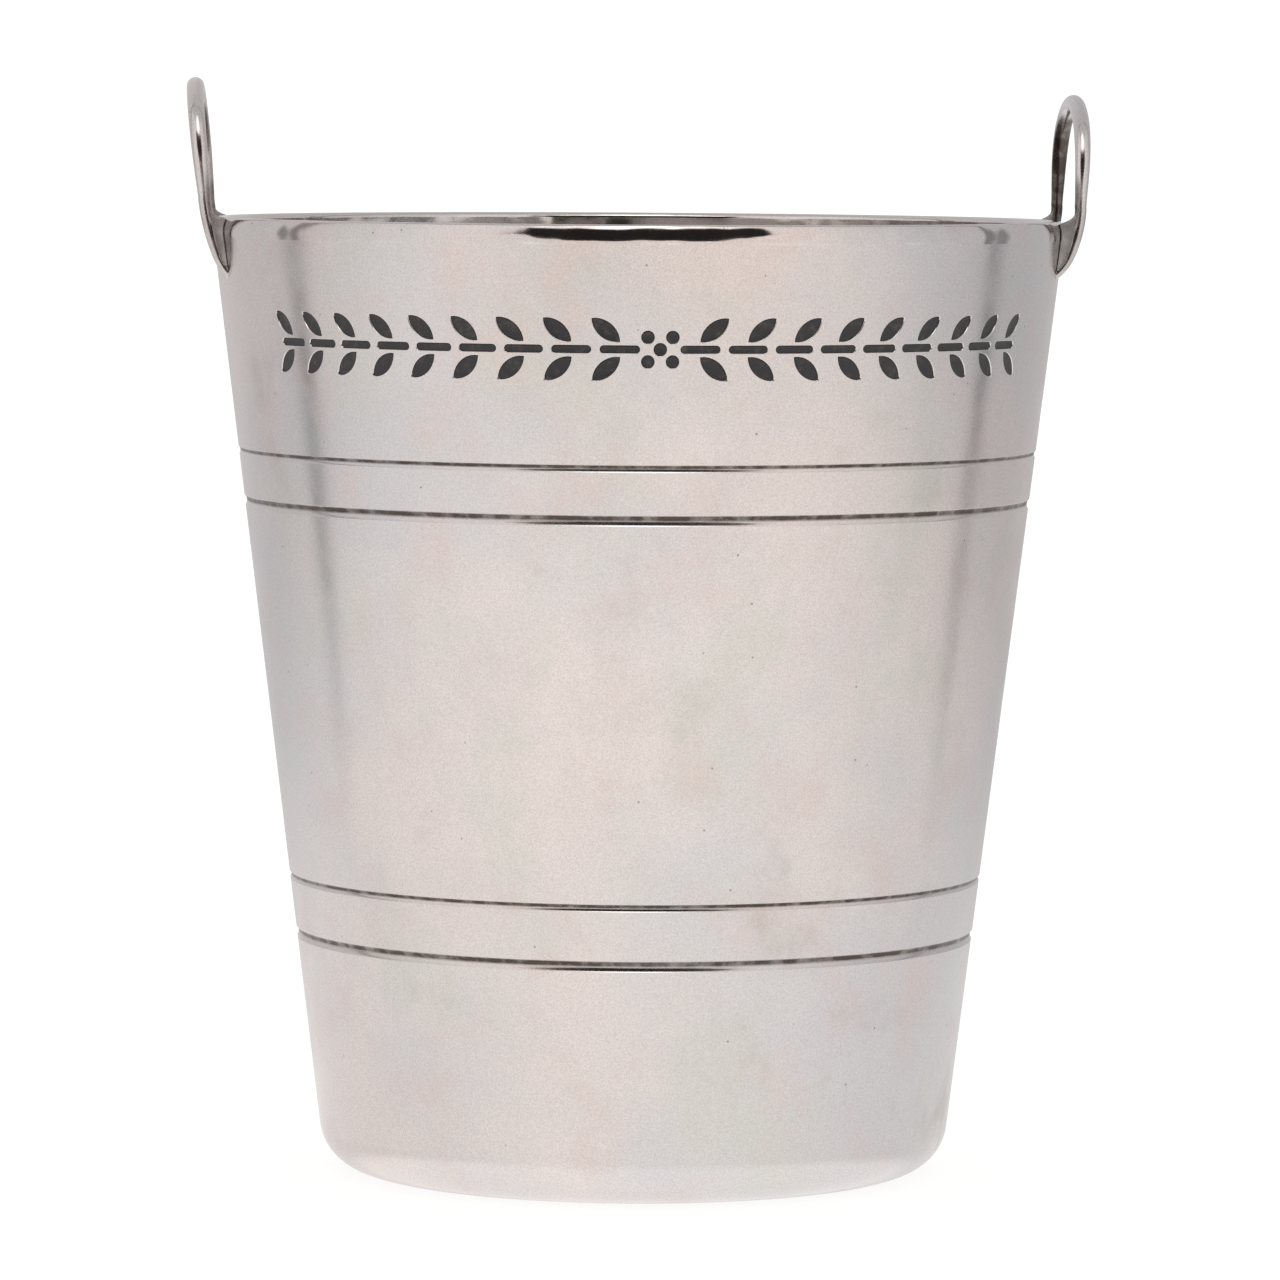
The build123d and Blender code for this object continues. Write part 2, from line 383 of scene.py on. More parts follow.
class Leaf:
    """A pointed oval between two points of the garland, bounded by two equal arcs."""

    def __init__(self, root, tip):
        chord = tip - root
        self.along = chord.normalized()
        self.across = Vector((-self.along.y, self.along.x))
        self.middle = (root + tip) / 2
        self.radius = (chord.length_squared / 4 + LEAF_HALF_WIDTH**2) / (2 * LEAF_HALF_WIDTH)
        self.offset = self.radius - LEAF_HALF_WIDTH

    def outline(self, inset=0.0, steps=10):
        """Points round the leaf, counterclockwise, drawn in by an inset."""
        reach = self.radius - inset
        spread = math.acos(self.offset / reach)
        points = []
        for facing in (-1, 1):
            centre = self.middle - self.across * (facing * self.offset)
            for step in range(steps):
                angle = -facing * spread * (2 * step / steps - 1)
                out = self.across * (facing * reach * math.cos(angle))
                points.append(centre + out + self.along * (reach * math.sin(angle)))
        return points

    def near(self, spot, clearance):
        """Whether a point lies in the leaf or within a clearance of it."""
        reach = self.radius + clearance
        for facing in (-1, 1):
            centre = self.middle - self.across * (facing * self.offset)
            if (spot - centre).length > reach:
                return False
        return True


def garland_strokes():
    """Every stem, leaf and berry, drawn flat: along and across the garland."""
    strokes = []
    for side in (-1, 1):
        for pair in range(LEAF_PAIRS):
            place = side * (LEAF_START + pair * LEAF_PITCH)
            ends = [(place + end * STEM_HALF_LENGTH, 0.0) for end in (-1, 1)]
            strokes.append(Stem(ends[0], ends[1], STEM_RADIUS))
            for across in (-1, 1):
                root = Vector((place + side * LEAF_ROOT[0], across * LEAF_ROOT[1]))
                tip = Vector((place + side * LEAF_TIP[0], across * LEAF_TIP[1]))
                strokes.append(Leaf(root, tip))
    strokes.append(Stem((0, 0), (0, 0), BERRY_RADIUS))
    for quarter in range(4):
        turn = math.pi / 4 + quarter * math.pi / 2
        spot = (BERRY_SPREAD * math.cos(turn), BERRY_SPREAD * math.sin(turn))
        strokes.append(Stem(spot, spot, BERRY_RADIUS))
    return strokes


def on_wall(along, across, depth=0.0):
    """A garland point on the wall, at a depth below its surface."""
    angle = along / outer_radius(GARLAND_HEIGHT) - math.pi / 2
    height = GARLAND_HEIGHT + across * math.cos(FLARE_ANGLE)
    radius = outer_radius(height) - depth * math.cos(FLARE_ANGLE)
    return around(radius, height + depth * math.sin(FLARE_ANGLE), angle)


def wall_normal(angle):
    """The wall's own normal at an angle round the axis."""
    return turned(math.cos(FLARE_ANGLE), -math.sin(FLARE_ANGLE), angle)


def garland_zone(surface, strokes):
    """The ring of wall that carries the garland, with a hole for each stroke."""
    scale = outer_radius(GARLAND_HEIGHT)
    rise = GARLAND_MARGIN / math.cos(FLARE_ANGLE)
    rows = GARLAND_ROWS
    spots, edges, keys = [], [], []

    for row in range(rows + 1):
        across = -rise + 2 * rise * row / rows
        for step in range(COLUMNS + 1):
            along = (step / COLUMNS - 0.5) * 2 * math.pi * scale
            spot = Vector((along, across))
            if 0 < row < rows and any(stroke.near(spot, GRID_CLEARANCE) for stroke in strokes):
                continue
            spots.append((along, across))
            keys.append((step, row))
    lookup = {key: index for index, key in enumerate(keys)}
    for row in (0, rows):
        for step in range(COLUMNS):
            edges.append((lookup[(step, row)], lookup[(step + 1, row)]))
    for stroke in strokes:
        base = len(spots)
        outline = stroke.outline()
        spots.extend(outline)
        keys.extend([None] * len(outline))
        for index in range(len(outline)):
            edges.append((base + index, base + (index + 1) % len(outline)))

    made = delaunay_2d_cdt([Vector(s) for s in spots], edges, [], 0, 1e-9)
    flat, triangles, origins = made[0], made[2], made[3]
    indices = []
    for spot, origin in zip(flat, origins):
        indices.append(zone_vertex(surface, spot, keys[origin[0]] if origin else None))
    for triangle in triangles:
        middle = sum((flat[i] for i in triangle), Vector((0, 0))) / 3
        if any(stroke.near(middle, 0.0) for stroke in strokes):
            continue
        angles = [flat[i].x / scale - math.pi / 2 for i in triangle]
        surface.face([indices[i] for i in triangle], [wall_normal(a) for a in angles])


def stroke_key(spot):
    """The key of a vertex on a stroke's edge, shared by the zone and the engraving."""
    return ("stroke", round(spot[0], 7), round(spot[1], 7))


def zone_vertex(surface, spot, key):
    """A vertex of the garland's zone; its grid points share the rings above and below."""
    if key is None:
        return surface.point(on_wall(spot.x, spot.y), stroke_key(spot))
    step, row = key
    column = (step + COLUMNS // 4) % COLUMNS
    if row in (0, GARLAND_ROWS):
        height = GARLAND_HEIGHT + (-GARLAND_MARGIN if row == 0 else GARLAND_MARGIN)
        shared = (column, round(outer_radius(height), 7), round(height, 7))
        return surface.point(around(outer_radius(height), height, column_angle(column)), shared)
    return surface.point(on_wall(spot.x, spot.y), ("grid", column, row))


def engrave(surface, strokes):
    """The chamfered side and the floor of every stroke."""
    for stroke in strokes:
        levels = []
        for inset, depth in (
            (0.0, 0.0),
            (ENGRAVING_CHAMFER, ENGRAVING_CHAMFER),
            (1.4 * ENGRAVING_CHAMFER, ENGRAVING_DEPTH),
        ):
            level = []
            outline = stroke.outline(inset)
            for spot in outline:
                key = stroke_key(spot) if depth == 0 else None
                level.append(surface.point(on_wall(spot[0], spot[1], depth), key))
            levels.append(level)
        for outer, inner in zip(levels, levels[1:]):
            count = len(outer)
            for index in range(count):
                after = (index + 1) % count
                surface.face([outer[index], outer[after], inner[after], inner[index]])
        surface.face(levels[-1])


def body_piece(strokes):
    """The spun vessel, inside and out, with its grooves and engraving."""
    surface = Surface()
    for run in outside_runs():
        spin(surface, run)
    garland_zone(surface, strokes)
    engrave(surface, strokes)
    surface.finish = 1.0
    for run in inside_runs():
        spin(surface, run)
    piece = surface.build("silver_vessel", groove_darkening)
    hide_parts("bucket_body")
    return piece


def fill_piece(strokes):
    """The black filler: one shallow inlay in each stroke, its top a little hollow."""
    surface = Surface()
    inset = 1.3 * ENGRAVING_CHAMFER
    for stroke in strokes:
        top, dished, floor = [], [], []
        for spot in stroke.outline(inset):
            top.append(surface.point(on_wall(spot[0], spot[1], FILL_DEPTH)))
        for spot in stroke.outline(inset + FILL_DISH[0]):
            dished.append(surface.point(on_wall(spot[0], spot[1], FILL_DEPTH + FILL_DISH[1])))
        for spot in stroke.outline(inset):
            floor.append(surface.point(on_wall(spot[0], spot[1], ENGRAVING_DEPTH - FILL_CLEARANCE)))
        count = len(top)
        for index in range(count):
            after = (index + 1) % count
            surface.face([top[index], top[after], dished[after], dished[index]])
            surface.face([top[after], top[index], floor[index], floor[after]])
        surface.face(dished)
        surface.face(list(reversed(floor)))
    piece = surface.build("garland_inlay")
    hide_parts("garland_fill")
    return piece


# ---- the rim ring ---------------------------------------------------------------------------
def lip_shape():
    """Height of the lip's foot, and the centres of its outer roll and its crest."""
    foot_height = RIM_HEIGHT - LIP_CREST_RADIUS * (1 - math.sin(LIP_FLANK_TILT))
    foot_height -= LIP_FLANK_RADIUS * (math.sin(LIP_FLANK_TILT) + math.sin(FLARE_ANGLE))
    flank = Vector((outer_radius(foot_height), foot_height))
    flank += Vector((-math.cos(FLARE_ANGLE), math.sin(FLARE_ANGLE))) * LIP_FLANK_RADIUS
    tilt = Vector((math.cos(LIP_FLANK_TILT), math.sin(LIP_FLANK_TILT)))
    return foot_height, flank, flank + tilt * (LIP_FLANK_RADIUS - LIP_CREST_RADIUS)


def rim_piece():
    """The ring in the mouth: a full round lip, and a skirt that laps the inside of the wall."""
    surface = Surface()
    inner = RIM_RADIUS - RIM_WIDTH
    flank_centre, crest_centre = lip_shape()[1:]
    inner_centre = (inner + LIP_INNER_ROUND, RIM_HEIGHT - LIP_INNER_ROUND)
    flank = arc(flank_centre, LIP_FLANK_RADIUS, -FLARE_ANGLE, LIP_FLANK_TILT)
    crest = arc(crest_centre, LIP_CREST_RADIUS, LIP_FLANK_TILT, math.pi / 2)
    inner_round = arc(inner_centre, LIP_INNER_ROUND, math.pi / 2, math.pi)
    shoulder = (outer_radius(SHOULDER_HEIGHT), SHOULDER_HEIGHT)
    lap_top = (shoulder[0] - WALL_ACROSS, SHOULDER_HEIGHT)
    lap_foot = (outer_radius(SKIRT_HEIGHT) - WALL_ACROSS, SKIRT_HEIGHT)
    for run in (
        straight(shoulder, flank[0][:2]),
        flank,
        crest,
        straight(crest[-1][:2], inner_round[0][:2]),
        inner_round,
        straight(inner_round[-1][:2], (inner, SHOULDER_HEIGHT - 1 * MM)),
        straight((inner, SHOULDER_HEIGHT - 1 * MM), lap_foot, 2),
        straight(lap_foot, lap_top, 2),
        straight(lap_top, shoulder),
    ):
        spin(surface, run)
    piece = surface.build("rim_lip")
    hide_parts("rim_ring")
    return piece


def envelope_radius(height):
    """Outer radius of the bucket with its rolled lip, at a height."""
    foot_height, flank, crest = lip_shape()
    if height <= foot_height:
        return outer_radius(height)
    if height >= RIM_HEIGHT:
        return 0.0
    if height <= crest.y + LIP_CREST_RADIUS * math.sin(LIP_FLANK_TILT):
        return flank.x + math.sqrt(LIP_FLANK_RADIUS**2 - (height - flank.y) ** 2)
    return crest.x + math.sqrt(LIP_CREST_RADIUS**2 - (height - crest.y) ** 2)


# ---- loops and solder -----------------------------------------------------------------------
class LoopFrame:
    """A loop's own frame: x along the rim, y in towards the axis, z up its legs."""

    def __init__(self, loop):
        side = loop["side"]
        turn = Matrix.Rotation(loop["turn"], 3, "Z")
        reach = math.sqrt(RIM_RADIUS**2 - (LEG_SPACING / 2) ** 2) + loop["standoff"]
        self.origin = turn @ Vector((side * reach, 0, RIM_HEIGHT))
        self.across = turn @ Vector((0, side, 0))
        self.up = turn @ Vector((side * math.sin(loop["lean"]), 0, math.cos(loop["lean"])))
        self.inward = self.up.cross(self.across)

    def place(self, x, y, z):
        return self.origin + self.across * x + self.inward * y + self.up * z

    def wall(self, x, z):
        """How far in from the legs' line the bucket's skin is, at a place on it."""
        near, far = -2 * MM, 16 * MM
        for _ in range(30):
            middle = (near + far) / 2
            spot = self.place(x, middle, z)
            if math.hypot(spot.x, spot.y) > envelope_radius(min(spot.z, RIM_HEIGHT - 0.1 * MM)):
                near = middle
            else:
                far = middle
        return far


def wire_radius(height):
    """The wire's radius at a height above the rim."""
    heights, radii = zip(*WIRE_TAPER)
    return float(np.interp(height, heights, radii))


def foot_line(loop):
    """(y, z) of a foot's centre line from its buried end up to the foot of the leg."""
    start, radius = loop["bend_start"], loop["bend_radius"]
    bend, toe = loop["bend_angle"], loop["toe_angle"]
    toe_centre = (
        radius * (1 - math.cos(bend)) + TOE_RADIUS * math.cos(bend),
        start - radius * math.sin(bend) + TOE_RADIUS * math.sin(bend),
    )
    line = []
    for angle in np.linspace(toe, bend, 20, endpoint=False):
        reach, drop = TOE_RADIUS * math.cos(angle), TOE_RADIUS * math.sin(angle)
        line.append((toe_centre[0] - reach, toe_centre[1] - drop))
    for angle in np.linspace(bend, 0, 24, endpoint=False):
        line.append((radius * (1 - math.cos(angle)), start - radius * math.sin(angle)))
    return line


def loop_line(loop):
    """The loop's centre line in its own frame, from one buried foot to the other."""
    half = LEG_SPACING / 2
    leg_top = loop["crown"] / math.cos(loop["lean"]) - CROWN_RISE
    slack = (1 - math.sin(CROWN_SHARE)) / math.cos(CROWN_SHARE)
    shoulder = (CROWN_RISE - half * slack) / (1 - slack)
    top = shoulder + (half - shoulder) / math.cos(CROWN_SHARE)
    line = []
    for y, z in foot_line(loop):
        # The foot is thinned on the side that meets the wall.
        line.append((half, y - (FOOT_WIRE_RADIUS - min(FOOT_WIRE_RADIUS, wire_radius(z))), z))
    for z in np.linspace(loop["bend_start"], leg_top, 8, endpoint=False):
        line.append((half, 0.0, z))
    for angle in np.linspace(0, CROWN_SHARE, 20, endpoint=False):
        out = half - shoulder * (1 - math.cos(angle))
        line.append((out, 0.0, leg_top + shoulder * math.sin(angle)))
    top_centre = leg_top + CROWN_RISE - top
    for angle in np.linspace(CROWN_SHARE, math.pi / 2, 16):
        line.append((top * math.cos(angle), 0.0, top_centre + top * math.sin(angle)))
    mirrored = [(-x, y, z) for x, y, z in reversed(line[:-1])]
    return line + mirrored


def kept_outside(point, sink=0.05 * MM):
    """The point, or where it meets the bucket's skin if it lies inside the bucket."""
    reach = math.hypot(point.x, point.y)
    skin = envelope_radius(point.z) - sink
    if reach >= skin:
        return point
    return Vector((point.x * skin / reach, point.y * skin / reach, point.z))


def loop_painted_shade_and_darkening(loop, z, inner, inward):
    """Painted shade at a height on a loop, where its surface looks into the loop and in to the wall,
    and a light darkening low on its legs.
    """
    # Painted shade: the faces looking into the loop are darkened for the dark they reflect.
    shaded = loop["inner_painted_shade"] * smooth(inner, 0.02, 0.4) * smooth(loop["crown"] - z, 0.5 * MM, 3 * MM)
    near_rim = smooth(12 * MM - z, 0.0, 8 * MM) * smooth(z, -4 * MM, 1 * MM)
    # Painted shade where the wire faces the wall near the rim.
    painted_shade_beside_wall = 0.85 * smooth(inward, 0.1, 0.6) * near_rim
    low = 0.25 * smooth(9 * MM - z, 0.0, 12 * MM)
    return min(1.0, max(shaded, painted_shade_beside_wall, low))


def tube_faces(rows, count):
    """Faces of a closed tube of rows of points, capped at both ends."""
    faces = []
    for row in range(rows - 1):
        low, high = row * count, (row + 1) * count
        for step in range(count):
            after = (step + 1) % count
            faces.append((low + step, low + after, high + after, high + step))
    faces.append(tuple(reversed(range(count))))
    faces.append(tuple(range((rows - 1) * count, rows * count)))
    return faces


def loop_piece(name, loop):
    """One wire loop, with the faces of its feet filed to the wall."""
    place = LoopFrame(loop)
    line = loop_line(loop)
    points, darkening = [], []
    for index, (x, y, z) in enumerate(line):
        before = Vector(line[max(index - 1, 0)])
        after = Vector(line[min(index + 1, len(line) - 1)])
        tangent = (after - before).normalized()
        side = (Vector((0, 1, 0)) - tangent * tangent.y).normalized()
        beside = tangent.cross(side)
        for step in range(WIRE_FACETS):
            angle = 2 * math.pi * step / WIRE_FACETS
            normal = side * math.cos(angle) + beside * math.sin(angle)
            spot = Vector((x, y, z)) + normal * wire_radius(z)
            points.append(kept_outside(place.place(*spot)))
            inner = -normal.x * math.copysign(1, x)
            darkening.append(loop_painted_shade_and_darkening(loop, z, inner, normal.y))
    piece = smooth_piece(f"{name}_wire_loop", points, tube_faces(len(line), WIRE_FACETS), darkening)
    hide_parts(f"{name}_loop_handle")
    return piece


def smooth_piece(name, points, faces, darkening):
    """A smooth shaded piece on the root body, with its darkening, mostly painted shade, as an
    attribute.
    """
    mesh = bpy.data.meshes.new(name)
    mesh.from_pydata([tuple(p) for p in points], [], faces)
    shape = bmesh.new()
    shape.from_mesh(mesh)
    bmesh.ops.recalc_face_normals(shape, faces=shape.faces)
    shape.to_mesh(mesh)
    shape.free()
    mesh.polygons.foreach_set("use_smooth", [True] * len(faces))
    layer = mesh.attributes.new("darkening", "FLOAT", "POINT")
    layer.data.foreach_set("value", darkening)
    piece = bpy.data.objects.new(name, mesh)
    bpy.context.scene.collection.objects.link(piece)
    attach(piece, "root")
    return piece


def web_reach(loop, place, x, z):
    """How far in a web of solder goes at a height: to the wall, or along its hollow top."""
    if z < WEB_LAP[1]:
        return place.wall(x, z) + 0.2 * MM
    lap = loop["standoff"] + WEB_LAP[0]
    left = max(0.0, (WEB_TOP - z) / (WEB_TOP - WEB_LAP[1]))
    return WEB_CREST + (lap - WEB_CREST) * left**WEB_HOLLOW


def solder_piece(name, loop, x):
    """A web of solder from the back of one foot to the wall, hollow on top and at its sides."""
    place = LoopFrame(loop)
    foot_y, foot_z = zip(*foot_line(loop))
    levels, side_points = 40, 10
    points, darkening = [], []
    for level in range(levels + 1):
        z = WEB_BOTTOM + (WEB_TOP - WEB_BOTTOM) * level / levels
        behind = float(np.interp(z, foot_z, foot_y)) if z < loop["bend_start"] else 0.0
        reach = max(behind, web_reach(loop, place, x, z))
        flare = WEB_FLARE * smooth(WEB_LAP[1] - z, -1.0 * MM, 1.5 * MM)
        side = []
        for step in range(side_points + 1):
            share = step / side_points
            width = WEB_HALF_WIDTH + flare * share**3 - WEB_WAIST * math.sin(math.pi * share)
            side.append((behind + (reach - behind) * share, width))
        outline = side + [(y, -width) for y, width in reversed(side)]
        for y, width in outline:
            points.append(kept_outside(place.place(x + width, y, z), 0.04 * MM))
            # Painted shade on every point of the web.
            darkening.append(WEB_PAINTED_SHADE)
    faces = tube_faces(levels + 1, 2 * (side_points + 1))
    piece = smooth_piece(f"{name}_web", points, faces, darkening)
    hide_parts(f"{name}_solder")
    return piece


# ---- materials ------------------------------------------------------------------------------
WARM_SILVER = (0.775, 0.712, 0.686, 1)
# Clouds of tint over the warm silver: colour, amount, vertical scale, then the noise's scale,
# detail and roughness, and the two levels between which the tint grows.
CLOUDS = (
    ((0.672, 0.668, 0.678, 1), 1.0, 1.0, 11.0, 4.0, 0.60, 0.38, 0.62),
    ((0.665, 0.672, 0.622, 1), 0.8, 0.7, 37.0, 5.0, 0.66, 0.48, 0.68),
    ((0.735, 0.632, 0.606, 1), 0.65, 1.0, 58.0, 4.0, 0.65, 0.50, 0.70),
)
STAIN_BROWN = (0.43, 0.33, 0.26, 1)
PIT_BROWN = (0.20, 0.14, 0.11, 1)
PIT_CHANCE = 0.22
GRAIN_GREY = (0.48, 0.46, 0.45, 1)
# Colours of the darkening: painted shade on the loops and the solder, and the darkening in the
# grooves.
DARKENING_BLACK = (0.018, 0.016, 0.018, 1)
DARKENING_BROWN = (0.10, 0.068, 0.05, 1)
WAX_BLACK = (0.014, 0.013, 0.014, 1)
WAX_WORN = (0.10, 0.085, 0.075, 1)


class Nodes:
    """Short calls for building a node tree."""

    def __init__(self, tree):
        self.tree = tree

    def add(self, kind, **settings):
        node = self.tree.nodes.new(kind)
        for key, value in settings.items():
            setattr(node, key, value)
        return node

    def link(self, source, target):
        self.tree.links.new(source, target)

    def feed(self, target, value):
        """Links a socket or sets a plain value."""
        if isinstance(value, bpy.types.NodeSocket):
            self.link(value, target)
        else:
            target.default_value = value

    def math(self, operation, *values, clamp=False):
        node = self.add("ShaderNodeMath", operation=operation, use_clamp=clamp)
        for socket, value in zip(node.inputs, values):
            self.feed(socket, value)
        return node.outputs[0]

    def mix(self, share, first, second, blend="MIX"):
        node = self.add("ShaderNodeMix", data_type="RGBA", blend_type=blend)
        self.feed(node.inputs["Factor"], share)
        self.feed(node.inputs["A"], first)
        self.feed(node.inputs["B"], second)
        return node.outputs["Result"]

    def noise(self, coordinates, scale, detail=3.0, roughness=0.5):
        node = self.add("ShaderNodeTexNoise")
        self.feed(node.inputs["Vector"], coordinates)
        node.inputs["Scale"].default_value = scale
        node.inputs["Detail"].default_value = detail
        node.inputs["Roughness"].default_value = roughness
        return node.outputs["Fac"]

    def span(self, value, low, high, out_low=0.0, out_high=1.0):
        """A smooth step of a value from one range to another."""
        node = self.add("ShaderNodeMapRange", interpolation_type="SMOOTHSTEP")
        self.feed(node.inputs["Value"], value)
        keys = ("From Min", "From Max", "To Min", "To Max")
        for key, number in zip(keys, (low, high, out_low, out_high)):
            node.inputs[key].default_value = number
        return node.outputs["Result"]

    def stretched(self, coordinates, scale):
        node = self.add("ShaderNodeMapping")
        self.feed(node.inputs["Vector"], coordinates)
        node.inputs["Scale"].default_value = scale
        return node.outputs["Vector"]


def material_nodes(name):
    """A new material: its node helper, its shader and its object coordinates."""
    material = bpy.data.materials.new(name)
    material.use_nodes = True
    nodes = Nodes(material.node_tree)
    shader = material.node_tree.nodes["Principled BSDF"]
    coordinates = nodes.add("ShaderNodeTexCoord").outputs["Object"]
    return material, nodes, shader, coordinates


def speckle(nodes, place):
    """Sparse pits: only the cells whose random colour is high carry one."""
    cells = nodes.add("ShaderNodeTexVoronoi", feature="F1")
    nodes.link(place, cells.inputs["Vector"])
    cells.inputs["Scale"].default_value = 230.0
    chance = nodes.math("FRACT", nodes.math("MULTIPLY", cells.outputs["Color"], 7.0))
    near = nodes.span(cells.outputs["Distance"], 0.03, 0.085, 1.0, 0.0)
    return nodes.math("MULTIPLY", nodes.math("GREATER_THAN", chance, 1 - PIT_CHANCE), near)


def silver(name, stain_gain=1.0, wave_scale=26.0, wave_height=0.16, polish=(0.15, 0.24)):
    """Old polished silver: clouds of tint, brown stains, pits, and rubbing marks. The surface's own
    attributes say where it is darkened, with painted shade on the loops and the solder, and where it
    is satin."""
    material, nodes, shader, place = material_nodes(name)
    colour = WARM_SILVER
    for tint, amount, squeeze, scale, detail, roughness, low, high in CLOUDS:
        cloud = nodes.noise(nodes.stretched(place, (1, 1, squeeze)), scale, detail, roughness)
        share = nodes.math("MULTIPLY", nodes.span(cloud, low, high), amount)
        colour = nodes.mix(share, colour, tint)
    blotches = nodes.noise(nodes.stretched(place, (1, 1, 0.8)), 17.0, 6.0, 0.68)
    stain = nodes.span(blotches, 0.57, 0.78)
    colour = nodes.mix(nodes.math("MULTIPLY", stain, 0.5 * stain_gain), colour, STAIN_BROWN)
    colour = nodes.mix(nodes.math("MULTIPLY", speckle(nodes, place), 0.8), colour, PIT_BROWN)
    grain = nodes.noise(place, 2600.0, 2.0, 0.75)
    colour = nodes.mix(nodes.span(grain, 0.36, 0.66, 0.0, 0.45), colour, GRAIN_GREY)

    haze = nodes.noise(place, 60.0, 5.0, 0.6)
    rough = nodes.span(haze, 0.3, 0.75, *polish)
    rough = nodes.math("ADD", rough, nodes.math("MULTIPLY", stain, 0.12))
    satin = nodes.add("ShaderNodeAttribute", attribute_name="satin").outputs["Fac"]
    rough = nodes.math("ADD", rough, nodes.math("MULTIPLY", satin, 0.34))
    # Darkening from the surface's attribute: painted shade on the loops and the solder, and the
    # darkening in the grooves.
    layer = nodes.add("ShaderNodeAttribute", attribute_name="darkening").outputs["Fac"]
    breakup = nodes.span(nodes.noise(place, 260.0, 4.0, 0.6), 0.25, 0.7, 0.7, 1.15)
    cover = nodes.math("MULTIPLY", layer, breakup, clamp=True)
    dark = nodes.mix(nodes.noise(place, 120.0), DARKENING_BLACK, DARKENING_BROWN)
    colour = nodes.mix(nodes.math("MULTIPLY", cover, 0.95), colour, dark)
    rough = nodes.math("ADD", rough, nodes.math("MULTIPLY", cover, 0.14))
    nodes.link(colour, shader.inputs["Base Color"])
    nodes.link(rough, shader.inputs["Roughness"])
    nodes.link(nodes.span(satin, 0, 1, 1.0, 0.7), shader.inputs["Metallic"])

    # Hand-finished undulation, fine spinning lines, polishing scratches and matt grain.
    waves = nodes.noise(place, wave_scale, 1.0, 0.4)
    lathe = nodes.noise(nodes.stretched(place, (6, 6, 900)), 1.0, 2.0, 0.6)
    scratches = nodes.noise(nodes.stretched(place, (900, 700, 60)), 1.0, 3.0, 0.65)
    normal = None
    for height, distance, strength in (
        (waves, wave_height * MM, 1.0),
        (lathe, 0.004 * MM, 0.5),
        (scratches, 0.004 * MM, 0.5),
        (grain, 0.003 * MM, 0.8),
    ):
        bump = nodes.add("ShaderNodeBump")
        bump.inputs["Distance"].default_value = distance
        bump.inputs["Strength"].default_value = strength
        nodes.link(height, bump.inputs["Height"])
        if normal is not None:
            nodes.link(normal, bump.inputs["Normal"])
        normal = bump.outputs["Normal"]
    nodes.link(normal, shader.inputs["Normal"])
    return material


def black_filler():
    """Matt black wax in the engraving, greyed and browned where it is worn."""
    material, nodes, shader, place = material_nodes("black_filler")
    worn = nodes.span(nodes.noise(place, 420.0, 4.0, 0.65), 0.5, 0.75)
    colour = nodes.mix(nodes.math("MULTIPLY", worn, 0.5), WAX_BLACK, WAX_WORN)
    nodes.link(colour, shader.inputs["Base Color"])
    nodes.link(nodes.span(worn, 0, 1, 0.45, 0.75), shader.inputs["Roughness"])
    bump = nodes.add("ShaderNodeBump")
    bump.inputs["Distance"].default_value = 0.05 * MM
    nodes.link(nodes.noise(place, 900.0, 3.0), bump.inputs["Height"])
    nodes.link(bump.outputs["Normal"], shader.inputs["Normal"])
    return material


# ---- studio ---------------------------------------------------------------------------------
# The tent's parts are placed by their rise above level and their turn from the front, in
# degrees, as seen from its middle.
TENT_RADIUS = 1.5
FLOOR_RADIUS = 0.5
WORLD_STRENGTH = 1.1
BLACK = (0, 0, 0, 1)
FRONT_SCREEN = (1.13, 1.085, 1.06, 1)
REAR_LOW = (0.93, 0.905, 0.90, 1)
REAR_HIGH = (0.68, 0.655, 0.66, 1)
TABLE = (1.18, 1.14, 1.12, 1)
TABLE_EDGE = (0.99, 0.905, 0.865, 1)
ROOF = (0.62, 0.605, 0.59, 1)
STRIP_STEPS = ((30, 1.5), (15, 2.4))  # half width and brightness, the brighter middle last
GAPS = ((-107.0, 4.5, 0.8), (107.0, 4.0, 0.75))  # turn, width and depth of shade
GAP_GREY = (0.14, 0.135, 0.14, 1)
OPENING_TURN = -3.0
DIM_ROOM = (0.02, 0.018, 0.018, 1)

CAMERA_DISTANCE = 18.0 * RIM_RADIUS
CAMERA_SIDESTEP = 0.0093 * RIM_RADIUS
CAMERA_HEIGHT = RIM_HEIGHT + 0.2623 * RIM_RADIUS
CAMERA_TURN = math.radians(3.0)
CAMERA_PITCH = 0.06946  # down, in radians
CAMERA_ROLL = 0.00607
CAMERA_LENS = 215.86  # on a sensor 36 mm wide


def stage_object(name, mesh, material, **visible):
    """A piece of the stage, hidden from the kinds of ray that are set to False."""
    thing = bpy.data.objects.new(name, mesh)
    thing.data.materials.append(material)
    bpy.context.scene.collection.objects.link(thing)
    for ray, seen in visible.items():
        setattr(thing, f"visible_{ray}", seen)
    return thing


def disc_mesh(name, radius, sides=96):
    """A flat round disc."""
    mesh = bpy.data.meshes.new(name)
    rim = [around(radius, 0.0, 2 * math.pi * side / sides) for side in range(sides)]
    mesh.from_pydata(rim, [], [tuple(range(sides))])
    return mesh


def dome_mesh(name, radius):
    """A full sphere, seen from inside."""
    mesh = bpy.data.meshes.new(name)
    shape = bmesh.new()
    bmesh.ops.create_uvsphere(shape, u_segments=96, v_segments=48, radius=radius)
    for face in shape.faces:
        face.smooth = True
    shape.to_mesh(mesh)
    shape.free()
    return mesh


